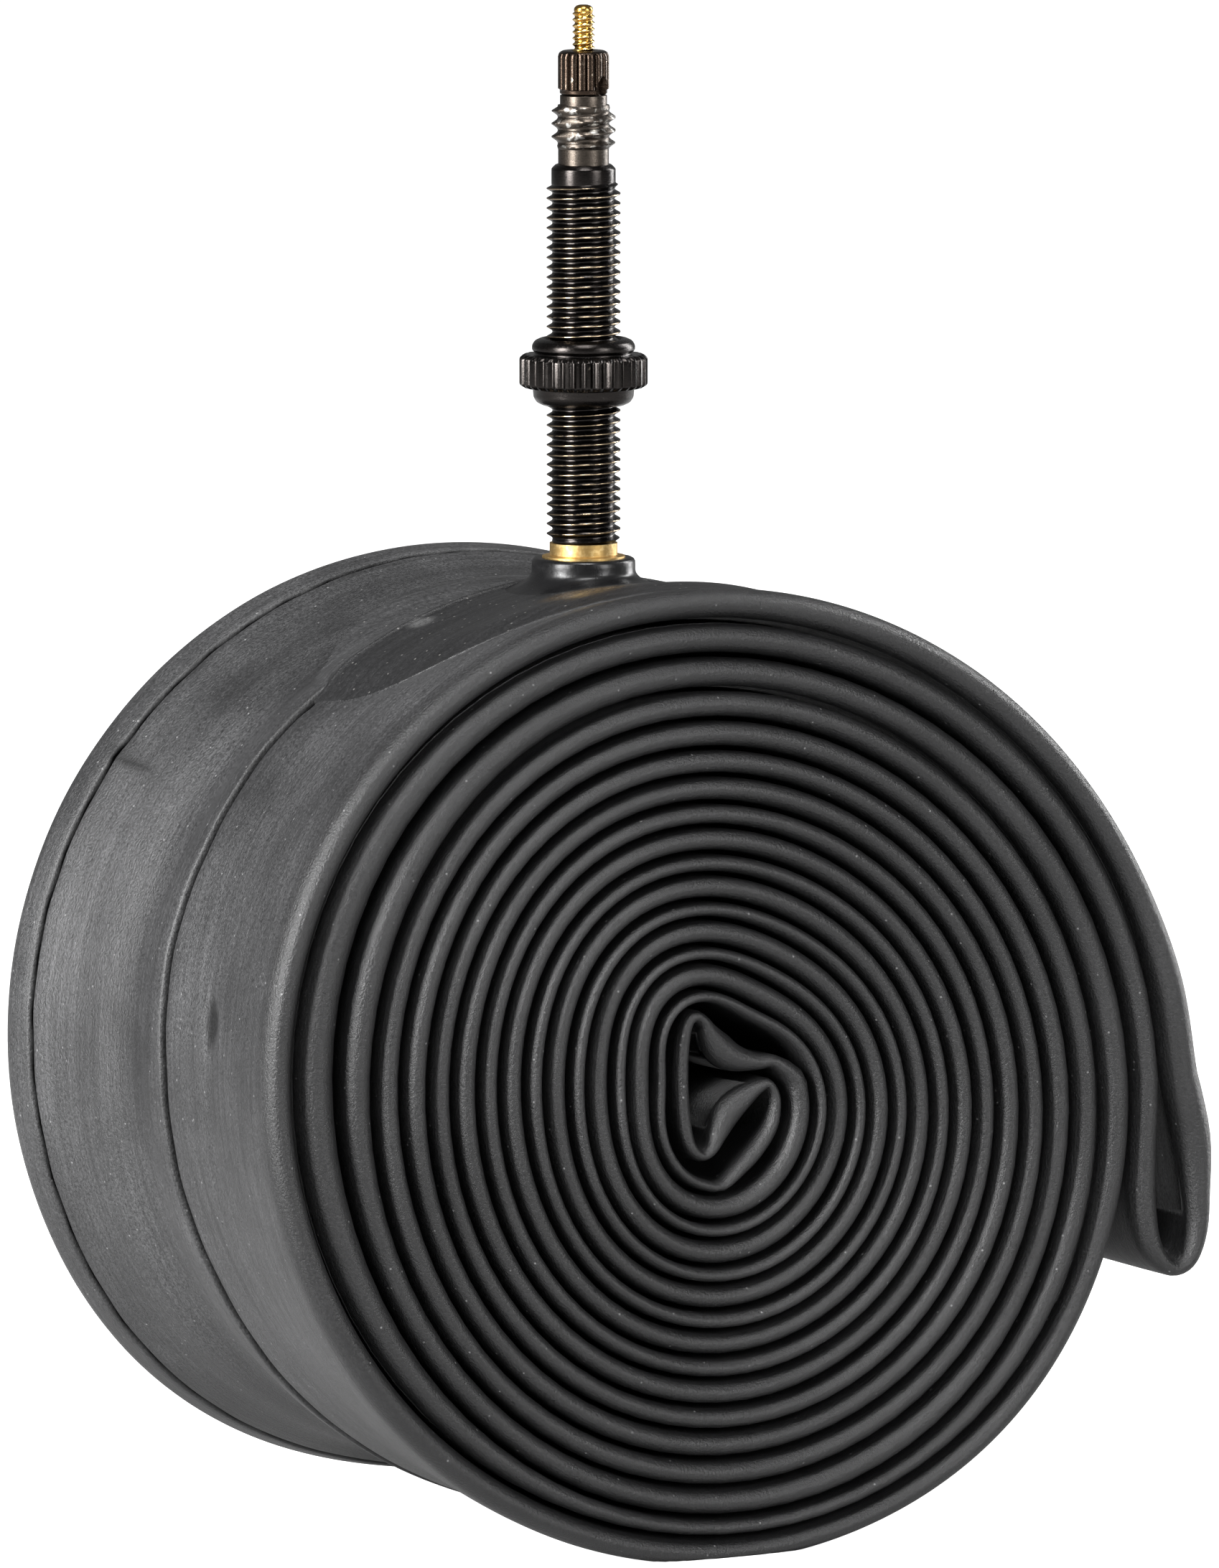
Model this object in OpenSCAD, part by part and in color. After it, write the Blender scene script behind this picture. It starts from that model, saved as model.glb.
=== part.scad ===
/* [Rolled tube] */
// Width of the flattened rubber tube, which is the width of the roll
tube_w = 45; // [40:0.5:50]
// Height of the roll's centre above the surface that it stands on
roll_centre_z = 39.3; // [39.1:0.1:39.5]
// Distance from the roll's front edge back to the valve
front_to_valve = 18; // [16:0.5:22]
// Distance from the valve to the point that the layers wind round
winding_x = 2.5; // [0:0.5:3]
// Gap that stays between neighbouring layers
layer_gap = 0.4; // [0.3:0.05:0.6]
// Radius of the waist round the outside, where the valve stands
waist_r = 37; // [36.6:0.1:37.6]
// Width of the two rims that stand up beside the waist
rim_w = 6; // [4:0.5:8]

/* [Valve patch and base] */
// Thickness of the rubber patch round the valve
patch_t = 0.9; // [0.7:0.1:1.2]
// Half the angle that the patch spans round the roll
patch_half_angle = 42; // [30:1:44]
// Width of the patch beside the valve
patch_w = 23; // [18:1:23]
// Height of the rubber base's top above the waist
base_top_h = 3.5; // [3.2:0.1:3.8]
// Diameter of the rubber base's top
base_top_d = 8.35; // [8:0.05:9]
// Diameter of the rubber base where it meets the patch
base_foot_d = 12; // [11:0.5:15]

/* [Valve stem] */
// Outer diameter of the stem's thread
stem_d = 6; // [6:0.1:6]
// Pitch of the stem's thread
stem_pitch = 0.8; // [0.8:0.1:0.8]
// Height of the stem's end above the rubber base
stem_h = 31.9; // [30:0.1:36]
// Length of the plain chamfered end above the thread
stem_tip = 1.6; // [1.2:0.1:2]
// Diameter of the plain end
tip_d = 5.2; // [5:0.05:5.3]
// Diameter of the brass neck under the thread
neck_d = 5.5; // [5.3:0.05:5.6]
// Length of the brass neck
neck_h = 1.2; // [1:0.1:2]

/* [Rim nut] */
// Diameter of the rim nut's knurled ring
nut_d = 10.4; // [9.5:0.1:12]
// Height of the rim nut's lower end above the rubber base
nut_z = 12.4; // [2:0.1:24]
// Number of teeth round the knurled ring
nut_teeth = 36; // [24:1:48]

/* [Valve core] */
// Outer diameter of the cap thread
cap_thread_d = 5.2; // [5.1:0.05:5.3]
// Diameter of the core's plain collar and of its lock nut
core_d = 4.1; // [4:0.05:4.2]
// Diameter of the brass pin's thread
pin_d = 1.8; // [1.7:0.05:1.9]
// Height of the pin's top above the rubber base
pin_top = 44.8; // [44:0.1:46]

/* [Hidden] */
$fn = 96;

rubber = [0.10, 0.10, 0.10];
black_nickel = [0.22, 0.20, 0.18];
brass = [0.72, 0.55, 0.26];
bronze = [0.36, 0.28, 0.20];

// --- Winding ---------------------------------------------------------------
// The closed tube is pressed flat into two strands and rolled up from one end.
// A winding line is the gap on one side of a strand. Its level says how many
// layers lie inside it, and falls by two on each turn towards the core.
turns = 8;
top_level = 2 * turns + 2;
step = 10;
// Growth of the radius from the core to the outside, as powers of level / top_level
growth = [2.1, 35.4, -7.7, 10.7];
// Departure from a circle as [cos, sin] of once, twice and three times round
core_shape = [[0, -2.0], [-0.8, -0.6], [0.6, 0.2]];
outer_shape = [[0.3, -2.2], [0.2, 0.1], [0.1, 0]];
// Departure of the last turn alone, which lies loose
last_mean = 0.35;
last_shape = [[-0.65, 0.75], [0.85, 0]];
// The inner layers are fat and thin by turns: by how much, and up to which level
uneven = 0.26;
uneven_level = 9;
// The layers lie askew: each point drops by this share of its distance to the side
askew = 0.064;

function harmonics(shape, a) =
    [for (k = [1:len(shape)]) shape[k - 1] * [cos(k * a), sin(k * a)]] * [for (s = shape) 1];
function ramp(x) = let (c = min(1, max(0, x))) c * c * (3 - 2 * c);
function line_r(level, a, side) =
    let (u = level / top_level)
    growth * [1, u, u * u, u * u * u]
    + (1 - u) * harmonics(core_shape, a)
    + u * harmonics(outer_shape, a)
    + ramp((level - 15.5) / 1.5) * (last_mean + harmonics(last_shape, a))
    + side * uneven * exp(-pow(level / uneven_level, 2));

// One point of a strand at turn angle t: [x, z, thickness]. It lies between two lines.
function strand_point(t, inner_line, inner_side) =
    let (level = top_level + inner_line - t / 180,
         r0 = line_r(level, t, inner_side),
         r1 = line_r(level + 1, t, -inner_side))
    [(r0 + r1) / 2 * cos(t), (r0 + r1) / 2 * sin(t), r1 - r0 - layer_gap];
function strand(from, to, inner_line, inner_side) =
    [for (t = [from:sign(to - from) * step:to]) strand_point(t, inner_line, inner_side)];

// The two strands join at the core in a T, and at the loose end in a bend
core_bend = [[5.0, 1.2, 1.2], [3.4, 1.2, 1.5], [1.6, 1.5, 2.4], [0.2, 2.3, 2.9],
    [-0.9, 3.5, 2.0], [-1.5, 4.4, 1.2], [-2.3, 4.9, 1.0], [-3.1, 4.4, 1.2], [-3.5, 2.5, 1.4],
    [-3.6, -0.5, 1.5], [-3.4, -3.5, 1.4], [-2.9, -5.6, 1.2], [-1.9, -6.4, 1.0],
    [-0.9, -5.9, 1.2], [-0.1, -4.6, 1.9], [0.9, -3.1, 2.5], [2.3, -1.8, 2.0], [3.5, -0.9, 1.3],
    [4.4, -0.6, 1.0], [5.0, -1.5, 1.1], [5.0, -2.9, 1.2], [4.5, -4.4, 1.4], [3.2, -6.1, 1.5],
    [1.8, -7.4, 1.4]];
end_bend = [[40.05, -5, 2.5], [39.9, -10, 2.7], [40.4, -13.4, 2.2], [41.5, -15.2, 1.6],
    [42.8, -15.7, 1.4], [44.1, -14.8, 1.6], [44.9, -12.5, 2.0], [44.9, -9.5, 2.2],
    [44.3, -5, 2.5]];

tube_path = concat(strand(0, 360 * turns, 0, -1), core_bend,
    strand(360 * turns - 90, 0, -1, 1), end_bend);

// The tube's outline on one side of its path: 1 is outside the loop, -1 inside
function path_at(i) = tube_path[(i + len(tube_path)) % len(tube_path)];
function outline(side) =
    [for (i = [0:len(tube_path) - 1])
        let (along = path_at(i + 1) - path_at(i - 1),
             half = side * path_at(i)[2] / 2 / norm([along[0], along[1]]))
        [path_at(i)[0] + half * along[1], path_at(i)[1] - half * along[0]]];

// --- Valve heights ---------------------------------------------------------
base_z = roll_centre_z + waist_r + base_top_h;
patch_r = waist_r + patch_t;
thread_h = stem_h - stem_tip - neck_h;
foot_disc_d = 8.4;
shank_d = 5;
bore_d = 4.2;
passage_d = 2.8;
ledge_z = 22;
running_gap = 0.06;
// Height and radius of the rim nut's taper, ring and top collar
nut_steps = [1.35, 2.75, 1.3];
nut_nose_r = 3.3;
nut_collar_r = 4.15;
tooth_depth = 0.22;
// Heights of the core's parts above the rubber base
cap_thread_z = 33.2;
cap_thread_chamfer = 0.4;
core_top_z = 36.6;
lock_nut_z = 37.5;
lock_nut_h = 3.6;
flat_x = 2.48;
seat_z = 24.6;
gasket_h = 0.6;
rod_d = 1.2;

// Stands a shape drawn in x and height on the roll's front edge, as deep as the roll
module across_roll(depth, start = 0) {
    translate([0, start - front_to_valve, roll_centre_z])
        rotate([90, 0, 0]) mirror([0, 0, 1]) linear_extrude(depth) children();
}

// A ring round the roll's axis from radius r0 to r1, over the patch's angle
module arc_band(r0, r1, half_angle, width, middle) {
    translate([0, middle - width / 2, roll_centre_z]) rotate([90, 0, 0]) mirror([0, 0, 1])
        linear_extrude(width) difference() {
            intersection() {
                circle(r1, $fn = 180);
                polygon([[0, 0], 2 * r1 * [cos(90 + half_angle), sin(90 + half_angle)],
                    [0, 2 * r1], 2 * r1 * [cos(90 - half_angle), sin(90 - half_angle)]]);
            }
            circle(r0, $fn = 180);
        }
}

// Rings that stand for a thread: root and crest radius, from height z0 up over a length
module thread_rod(root_r, crest_r, pitch, z0, length) {
    crest = pitch / 8;
    flank = (pitch - 2 * crest) / 2;
    count = floor(length / pitch + 0.01);
    rotate_extrude() polygon(concat([[0, z0]],
        [for (i = [0:count - 1]) each [
            [root_r, z0 + i * pitch],
            [crest_r, z0 + i * pitch + flank],
            [crest_r, z0 + i * pitch + flank + crest],
            [root_r, z0 + (i + 1) * pitch - crest]]],
        [[root_r, z0 + length], [0, z0 + length]]));
}

// A turned part from a list of [radius, height] down its outside, round the valve's axis
module turned(profile) {
    rotate_extrude() polygon(concat([[0, profile[0][1]]], profile,
        [[0, profile[len(profile) - 1][1]]]));
}

module inner_tube() {
    color(rubber) difference() {
        across_roll(tube_w) translate([winding_x, 0])
            multmatrix([[1, 0, 0, 0], [-askew, 1, 0, 0], [0, 0, 1, 0]]) difference() {
                polygon(outline(1));
                polygon(outline(-1));
            }
        arc_band(waist_r, 2 * waist_r, 60, tube_w - 2 * rim_w, tube_w / 2 - front_to_valve);
        translate([-20, -50, -10]) cube([40, 100, 10]);
    }
}

// A lens with its points along the roll and its widest place beside the valve
module valve_patch() {
    half_length = patch_r * sin(patch_half_angle);
    lens_r = (half_length * half_length + patch_w * patch_w / 4) / patch_w;
    color(rubber) difference() {
        intersection() {
            arc_band(waist_r, patch_r, patch_half_angle, patch_w, 0);
            lens(lens_r) cylinder(r = lens_r, h = base_z);
        }
        translate([0, 0, roll_centre_z]) cylinder(d = foot_disc_d, h = base_z);
    }
}

// What two copies of a round shape share, moved apart to leave the patch's width
module lens(lens_r) {
    intersection() {
        translate([0, patch_w / 2 - lens_r, 0]) children();
        translate([0, lens_r - patch_w / 2, 0]) children();
    }
}

module valve_base() {
    foot_h = base_top_h - patch_t + 0.6;
    color(rubber) difference() {
        translate([0, 0, base_z - foot_h]) turned([[base_foot_d / 2, 0], [base_foot_d / 2, 0.7],
            [base_top_d / 2 + 0.7, 1.1], [base_top_d / 2 + 0.1, 1.7],
            [base_top_d / 2, foot_h - 0.2], [base_top_d / 2 - 0.2, foot_h]]);
        across_roll(2 * tube_w, -tube_w / 2) circle(patch_r, $fn = 180);
        translate([0, 0, roll_centre_z]) cylinder(d = shank_d, h = base_z);
        translate([0, 0, roll_centre_z]) cylinder(d = foot_disc_d, h = waist_r + patch_t);
    }
}

// Brass foot: a disc held in the patch, a shank in the rubber and the bare neck
module valve_foot() {
    shank_h = base_top_h - patch_t;
    color(brass) translate([0, 0, base_z]) difference() {
        turned([[foot_disc_d / 2, -shank_h - patch_t + 0.2], [foot_disc_d / 2, -shank_h],
            [shank_d / 2, -shank_h], [shank_d / 2, 0], [3.35, 0], [3.35, 0.15],
            [neck_d / 2, 0.25], [neck_d / 2, neck_h]]);
        translate([0, 0, -base_top_h]) cylinder(d = passage_d, h = base_top_h + neck_h + 1);
    }
}

module valve_stem() {
    color(black_nickel) translate([0, 0, base_z]) difference() {
        union() {
            thread_rod(2.55, stem_d / 2, stem_pitch, neck_h, thread_h);
            translate([0, 0, stem_h - stem_tip]) turned([[tip_d / 2, 0],
                [tip_d / 2, stem_tip - 0.3], [tip_d / 2 - 0.3, stem_tip]]);
        }
        translate([0, 0, neck_h - 1]) cylinder(d = passage_d, h = stem_h);
        translate([0, 0, ledge_z]) cylinder(d = bore_d, h = stem_h);
    }
}

module rim_nut() {
    ring_z = nut_steps[0];
    top_z = ring_z + nut_steps[1];
    end_z = top_z + nut_steps[2];
    ring_r = nut_d / 2;
    color(black_nickel) translate([0, 0, base_z + nut_z]) difference() {
        union() {
            turned([[nut_nose_r, 0], [nut_collar_r, ring_z], [nut_collar_r, end_z - 0.4],
                [nut_collar_r - 0.4, end_z]]);
            translate([0, 0, ring_z]) turned([[ring_r - 0.35, 0], [ring_r, 0.35],
                [ring_r, nut_steps[1] - 0.35], [ring_r - 0.35, nut_steps[1]]]);
        }
        for (i = [0:nut_teeth - 1]) rotate(i * 360 / nut_teeth)
            translate([ring_r, 0, ring_z + nut_steps[1] / 2]) rotate(45)
                cube([tooth_depth * sqrt(2), tooth_depth * sqrt(2), nut_steps[1] + 2],
                    center = true);
        translate([0, 0, -1]) cylinder(d = stem_d + 2 * running_gap, h = end_z + 2);
    }
}

// Core body: plain shaft in the stem, collar, cap thread's outside and wrench flats, seat below
module core_body() {
    shaft_r = bore_d / 2 - 0.02;
    color(bronze) translate([0, 0, base_z]) difference() {
        union() {
            turned([[shaft_r, ledge_z + gasket_h], [shaft_r, stem_h], [core_d / 2, stem_h],
                [core_d / 2, core_top_z], [core_d / 2 - 0.15, core_top_z + 0.1]]);
            difference() {
                turned([[core_d / 2, cap_thread_z],
                    [cap_thread_d / 2, cap_thread_z + cap_thread_chamfer],
                    [cap_thread_d / 2, core_top_z - cap_thread_chamfer],
                    [core_d / 2, core_top_z]]);
                for (s = [-1, 1]) translate([s * (flat_x + 2), 0, core_top_z])
                    cube([4, 8, 10], center = true);
            }
            translate([0, 0, core_top_z]) cylinder(d = core_d - 0.3, h = lock_nut_z - core_top_z);
        }
        translate([0, 0, seat_z - 5]) cylinder(d = 3, h = 5);
        translate([0, 0, seat_z - 1]) cylinder(d = rod_d + 0.5, h = 40);
        translate([0, 0, lock_nut_z - 3.2]) cylinder(d = pin_d + 2 * running_gap, h = 5);
    }
}

// Sealing ring under the core, on the ledge in the stem's bore
module core_gasket() {
    color(rubber) translate([0, 0, base_z + ledge_z]) difference() {
        cylinder(d = bore_d - 0.04, h = gasket_h);
        translate([0, 0, -1]) cylinder(d = passage_d + 0.4, h = 3);
    }
}

module core_pin() {
    thread_z = lock_nut_z - 0.4;
    color(brass) translate([0, 0, base_z]) union() {
        translate([0, 0, seat_z - 1.4]) cylinder(d = rod_d, h = thread_z - seat_z + 1.4);
        thread_rod(0.72, pin_d / 2, 0.5, thread_z, pin_top - 0.5 - thread_z);
        translate([0, 0, pin_top - 0.5]) turned([[0.72, 0], [0.72, 0.25], [0.4, 0.5]]);
    }
}

// Rubber washer that closes against the core's lower end
module pin_seal() {
    color(rubber) translate([0, 0, base_z + seat_z]) difference() {
        turned([[1.25, -0.75], [1.25, -0.2], [1.05, -0.01]]);
        translate([0, 0, -1]) cylinder(d = rod_d, h = 2);
    }
}

// Brass cup that carries the washer on the pin's lower end
module seal_cup() {
    color(brass) translate([0, 0, base_z + seat_z - 1.4]) difference() {
        turned([[1.1, 0], [1.25, 0.2], [1.25, 0.65]]);
        translate([0, 0, -1]) cylinder(d = rod_d, h = 3);
    }
}

module lock_nut() {
    ribs = 16;
    color(bronze) translate([0, 0, base_z + lock_nut_z]) difference() {
        turned([[core_d / 2 - 0.15, 0.02], [core_d / 2, 0.17], [core_d / 2, lock_nut_h - 0.7],
            [core_d / 2 - 0.25, lock_nut_h - 0.25], [core_d / 2 - 0.75, lock_nut_h]]);
        for (i = [0:ribs - 1]) rotate(i * 360 / ribs)
            translate([core_d / 2 + 0.14, 0, 0.5]) cylinder(d = 0.5, h = 10, $fn = 24);
        translate([0, 0, -1]) cylinder(d = pin_d + 2 * running_gap, h = 10);
    }
}

inner_tube();
valve_patch();
valve_base();
valve_foot();
valve_stem();
rim_nut();
core_body();
core_gasket();
core_pin();
pin_seal();
seal_cup();
lock_nut();
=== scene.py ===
"""A rolled-up rubber inner tube with a threaded valve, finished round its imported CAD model."""
import math

import bmesh
import bpy
import numpy as np
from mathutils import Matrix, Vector


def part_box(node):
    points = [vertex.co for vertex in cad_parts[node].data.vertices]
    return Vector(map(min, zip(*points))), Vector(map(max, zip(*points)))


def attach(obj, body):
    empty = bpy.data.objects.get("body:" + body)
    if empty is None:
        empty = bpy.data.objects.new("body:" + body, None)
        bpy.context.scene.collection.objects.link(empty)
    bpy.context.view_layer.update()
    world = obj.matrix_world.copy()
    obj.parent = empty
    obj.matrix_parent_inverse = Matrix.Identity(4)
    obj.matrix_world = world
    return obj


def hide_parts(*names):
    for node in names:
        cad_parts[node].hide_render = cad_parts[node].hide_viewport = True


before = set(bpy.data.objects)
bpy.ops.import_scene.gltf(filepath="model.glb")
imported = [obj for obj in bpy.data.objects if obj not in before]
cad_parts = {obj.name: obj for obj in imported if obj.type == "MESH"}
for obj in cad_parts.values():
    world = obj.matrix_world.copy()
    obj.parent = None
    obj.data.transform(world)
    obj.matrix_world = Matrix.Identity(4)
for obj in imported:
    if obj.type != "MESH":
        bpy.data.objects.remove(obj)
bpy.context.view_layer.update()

MM = 0.001
TAU = 2 * math.pi
X, Y, Z = range(3)


def extent(node, axis):
    """The lowest and highest place of a CAD node along an axis, in millimetres."""
    return [corner[axis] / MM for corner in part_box(node)]


# --- Places that the frame gives, in millimetres ------------------------------
FRONT, BACK = extent("inner_tube", Y)
STEM_LOW, STEM_END = extent("valve_stem", Z)
NECK_BARE = 1.2
BASE_TOP = STEM_LOW - NECK_BARE
CORE_END = extent("core_body", Z)[1]
PIN_LOW, PIN_END = extent("core_pin", Z)
NUT_LOW = extent("rim_nut", Z)[0]
LOCK_LOW, LOCK_HIGH = extent("lock_nut", Z)
THREAD_R = extent("valve_stem", X)[1]
PIN_R = extent("core_pin", X)[1]

# --- The winding, by the same rule as the CAD solid ---------------------------
BASE_ABOVE_ROLL = 40.5
ROLL_SAG = 0.2
ROLL_X = 3.05
ROLL_Z = BASE_TOP - BASE_ABOVE_ROLL - ROLL_SAG
TURNS = 8
TOP_LEVEL = 2 * TURNS + 2
STEP = 10
LAYER_GAP = 0.4
GROWTH = (2.1, 35.4, -7.7, 10.7)
# Cosine and sine shares of one wave round the turn, two waves, and so on
CORE_SHAPE = ((0, -2.0), (-0.8, -0.6), (0.6, 0.2))
OUTER_SHAPE = ((0.3, -2.2), (0.2, 0.1), (0.1, 0))
LAST_FROM, LAST_OVER = 15.5, 1.5
LAST_MEAN = 0.35
LAST_SHAPE = ((-0.65, 0.75), (0.85, 0))
UNEVEN = 0.26
UNEVEN_LEVEL = 9
ASKEW = 0.064
LOOSE_END_SWELL, LOOSE_END_REACH = 1.1, 14
# Points [x, z, thickness] that join the two strands at the core and at the loose end
CORE_BEND = ((5.0, 1.2, 1.2), (3.4, 1.2, 1.5), (1.6, 1.5, 2.4), (0.2, 2.3, 2.9),
             (-0.9, 3.5, 2.0), (-1.5, 4.4, 1.2), (-2.3, 4.9, 1.0), (-3.1, 4.4, 1.2),
             (-3.5, 2.5, 1.4), (-3.6, -0.5, 1.5), (-3.4, -3.5, 1.4), (-2.9, -5.6, 1.2),
             (-1.9, -6.4, 1.0), (-0.9, -5.9, 1.2), (-0.1, -4.6, 1.9), (0.9, -3.1, 2.5),
             (2.3, -1.8, 2.0), (3.5, -0.9, 1.3), (4.4, -0.6, 1.0), (5.0, -1.5, 1.1),
             (5.0, -2.9, 1.2), (4.5, -4.4, 1.4), (3.2, -6.1, 1.5), (1.8, -7.4, 1.4))
END_BEND = ((40.05, -5, 2.5), (39.9, -10, 2.7), (40.4, -13.4, 2.2), (41.5, -15.2, 1.6),
            (42.8, -15.7, 1.4), (44.1, -14.8, 1.6), (44.9, -12.5, 2.0), (45.05, -9.5, 2.5),
            (44.85, -5, 3.6))
# Samples of the path for each of its points
LAST_TURN_SAMPLES, INNER_SAMPLES, BEND_SAMPLES = 8, 2, 4

# --- The pressed strand's section, in millimetres -----------------------------
EDGE_INSET = 0.25
CORE_SET_BACK = 0.4
FOLD_POINTS = 15
FOLD_DEPTH, FOLD_EXTRA = 1.15, 0.45
FOLD_CLEARANCE = 0.1
UNDERSIDE_POINTS = 7

# --- The outer face: millimetres across and up, degrees round -----------------
VALVE_ANGLE = 93.6
FACE_FROM = 35.5
WAIST = 1.95
WAIST_ENTRY = 17
WAIST_EXIT_FROM, WAIST_EXIT = 11, 10
CHANNEL_DEPTH, CHANNEL_ACROSS, CHANNEL_WIDTH = 0.62, 10.8, 4.0
# Where the loose turns stand out or in: (height, middle, width)
RIGHT_SWELLING = (0.45, 318, 34)
BACK_SWELLINGS = ((0.35, 212, 28), (-0.55, 138, 32), (-2.9, 268, 30), (0.5, 175, 55))
BACK_FROM, BACK_OVER = 2, 18
PARTING_LINE = 3.7
GROOVE, GROOVE_DEPTH = 0.25, 1.1
PARTING_STEP, PARTING_STEP_OVER = 0.2, 6
SEAM_LINE = 22.5
SEAM_GROOVE, SEAM_DEPTH, SEAM_LIP = 0.18, 0.55, 0.10
RIPPLE_PER_DEGREE = 4
CROSS_ANGLE, CROSS_ACROSS, CROSS_LEAN = 147.5, 20, 0.25
CROSS_FRONT, CROSS_BACK = 16, 25
CROSS_WIDTH, CROSS_RISE = 0.8, 0.12
DENT_ANGLE, DENT_ACROSS = 175.8, -3.9
DENT_LENGTH, DENT_FRONT, DENT_BACK = 3.1, 2.7, 1.2
DENT_DEPTH = 0.35
DENT_MM_PER_DEGREE = 0.72
TAIL_ACROSS, TAIL_WIDTH, TAIL_DEPTH = -4.1, 1.3, 0.3
# Shallow hollows and rises: (height, middle, length, across, width)
RIPPLES = ((-0.3, 152, 12, 9, 3.5), (0.25, 205, 25, 15, 3))
# How much painted shade each kind of line and the dent get, standing in for the shade at their
# bottoms
PARTING_SHADE, SEAM_SHADE, CROSS_SHADE, DENT_SHADE = 1.5, 1.2, 0.7, 0.6

# --- The patch and the moulded base -------------------------------------------
PATCH_ANGLE = 39
PATCH_FRONT, PATCH_BACK = 18.5, 13
PATCH_RISE = 0.6
PATCH_THINS_FROM = 0.82
PATCH_TUCK = 0.2
PATCH_SKIN = 0.6
PATCH_MM_PER_DEGREE = 0.66
PATCH_ROWS, PATCH_COLUMNS = 80, 24
BEHIND_FLATTER, BEHIND_OVER = 0.75, 6
BEAD_RISE, BEAD_WIDTH = 0.3, 0.24
SWELL_RISE, SWELL_REACH = 0.4, 7.5
MOAT_DEPTH, MOAT_AT, MOAT_WIDTH = 0.25, 1.02, 0.05
POST_R, POST_EDGE_R = 4.2, 4.18
POST_HEIGHT = 1.0
BASE_FLARE = 7.6
BASE_BORE = 2.55
BASE_SIDES = 96
FLARE_ROWS = 14

# --- The valve, in millimetres ------------------------------------------------
AXIS_R = 0.02
THREAD_ROOT_R = 2.52
THREAD_PITCH = 0.8
STEM_TIP = 1.6
TIP_R = 2.6
TIP_CHAMFER = 0.35
RING_R = 5.2
RING_TEETH = 36
TOOTH_DEPTH = 0.26
TOOTH = (0, 0.1, 0.55, 1, 1, 1, 0.55, 0.1)
NUT_BORE = 3.07
CAP_THREAD_R = 2.6
CAP_ROOT_R = 2.08
CAP_PITCH = 25.4 / 24
CORE_R = 2.05
CORE_NECK_R = 1.9
CORE_NECK = 0.9
FLAT_DISTANCE = 2.22
FLAT_ANGLE = 208
PIN_GAP = 0.06
PIN_ROOT_R = 0.7
PIN_PITCH = 0.5
PIN_ROD_R = 0.6
CROWN = 0.45
LOCK_RIBS = 16
LOCK_R = 2.07
LOCK_SHOULDER_R = 1.92
RIB_DEPTH = 0.3
NOTCH_ANGLE = 291
NOTCH_HALF_ANGLE = 19
NOTCH_HEIGHT = 1.5
NOTCH_R = 1.5
# One pitch of a thread: (share of the pitch, share of the height)
THREAD_SHAPE = ((0.0, 0.0), (0.1, 0.06), (0.2, 0.25), (0.44, 0.96), (0.5, 1), (0.56, 0.96),
                (0.8, 0.25), (0.9, 0.06))


# --- Curves -------------------------------------------------------------------
def smooth(x):
    """0 below 0, 1 above 1, and a soft S between."""
    c = np.clip(x, 0, 1)
    return c * c * (3 - 2 * c)


def hill(x, middle, width):
    """A round hill of height 1 about a middle."""
    return np.exp(-((x - middle) / width) ** 2)


def swelling(angle, middle, width):
    """A hill round the roll, which carries on smoothly past the start of the turn."""
    return hill((angle - middle + 180) % 360, 180, width)


def harmonics(shape, angle):
    return sum(c * math.cos(k * angle) + s * math.sin(k * angle)
               for k, (c, s) in enumerate(shape, 1))


def spline(points, counts):
    """A smooth closed curve through points, with that many samples from each to the next."""
    points = np.array(points, float)
    samples = []
    for i, count in enumerate(counts):
        a, b, c, d = (points[(i + k) % len(points)] for k in (-1, 0, 1, 2))
        for t in np.arange(count) / count:
            samples.append(0.5 * (2 * b + (c - a) * t + (2 * a - 5 * b + 4 * c - d) * t ** 2
                                  + (3 * b - a - 3 * c + d) * t ** 3))
    return np.array(samples)


def wander(along, wavelength, seed):
    """A smooth random wave of about +-1 that repeats for the same seed."""
    rng = np.random.default_rng(seed)
    wave = sum(np.sin(TAU * along / (wavelength * rng.uniform(0.6, 2.2)) + rng.uniform(0, TAU))
               for _ in range(6))
    return wave / 3


# --- The winding --------------------------------------------------------------
def line_radius(level, angle, side):
    """Radius of a winding line: level counts the layers inside it, side is -1 in the loop."""
    u = level / TOP_LEVEL
    last = float(smooth((level - LAST_FROM) / LAST_OVER))
    return (sum(g * u ** n for n, g in enumerate(GROWTH))
            + (1 - u) * harmonics(CORE_SHAPE, angle) + u * harmonics(OUTER_SHAPE, angle)
            + last * (LAST_MEAN + harmonics(LAST_SHAPE, angle))
            + side * UNEVEN * math.exp(-(level / UNEVEN_LEVEL) ** 2))


def outer_radius(degrees):
    """Radius of the roll's outer face at its edges, at an angle in the last turn."""
    return line_radius(TOP_LEVEL + 1 - degrees / 180, math.radians(degrees), 1) - LAYER_GAP / 2


def strand_point(turned_by, inner_line, inner_side):
    """Middle and thickness of a strand that lies between two winding lines."""
    level = TOP_LEVEL + inner_line - turned_by / 180
    angle = math.radians(turned_by)
    inner = line_radius(level, angle, inner_side)
    outer = line_radius(level + 1, angle, -inner_side)
    if inner_line == 0:
        outer += LOOSE_END_SWELL * hill(turned_by, 0, LOOSE_END_REACH)
    middle = (inner + outer) / 2
    return middle * math.cos(angle), middle * math.sin(angle), outer - inner - LAYER_GAP


def strand(start, stop, inner_line, inner_side):
    direction = 1 if stop > start else -1
    return [strand_point(t, inner_line, inner_side)
            for t in range(start, stop + direction, direction * STEP)]


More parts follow.
